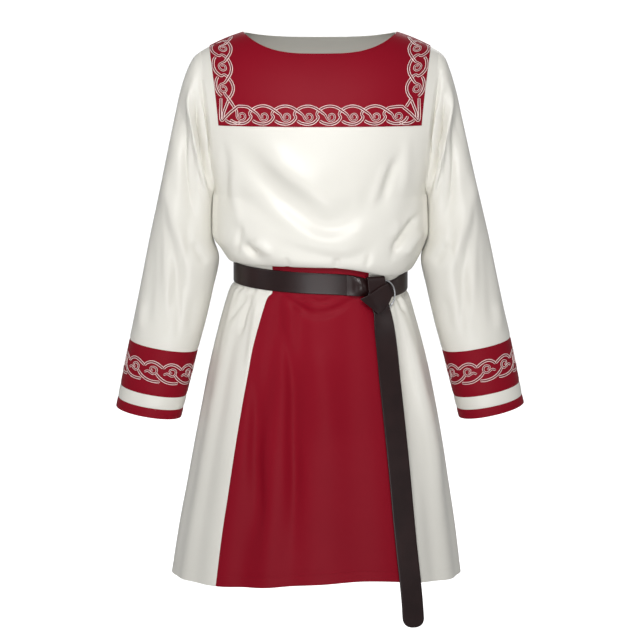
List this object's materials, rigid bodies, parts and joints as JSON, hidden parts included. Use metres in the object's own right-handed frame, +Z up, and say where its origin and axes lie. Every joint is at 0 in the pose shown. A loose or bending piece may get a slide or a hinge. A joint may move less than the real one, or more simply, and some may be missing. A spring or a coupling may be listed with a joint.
{
  "type": "long-sleeved belted tunic",
  "caption": "Hollow long-sleeved tunic with a square yoke, cuff bands, a trapezoid skirt panel and a knotted ring belt.",
  "frame": {"origin": "midway between the shoulders, where the wearer carries the tunic, level with the armholes' upper ends", "axes": "+Z up, +X towards the wearer's left (the viewer's right), and the front faces -Y"},
  "size_m": [0.711, 0.313, 1.0141],
  "materials": {
    "white_cloth": "soft sheen, ivory white",
    "red_cloth": "soft sheen, deep red",
    "belt_leather": "smooth, dark brown",
    "ring_steel": "polished"
  },
  "bodies": {
    "root": {"front": "white_cloth", "back": "white_cloth", "skirt_panel": "red_cloth", "yoke": "red_cloth", "sleeve_left": "white_cloth", "cuff_band_left": "red_cloth", "cuff_stripe_left": "white_cloth", "cuff_edge_left": "red_cloth", "sleeve_right": "white_cloth", "cuff_band_right": "red_cloth", "cuff_stripe_right": "white_cloth", "cuff_edge_right": "red_cloth", "belt_strap": "belt_leather", "belt_ring": "ring_steel", "belt_loop": "belt_leather", "belt_wrap": "belt_leather", "belt_tail": "belt_leather"}
  },
  "joints": []
}
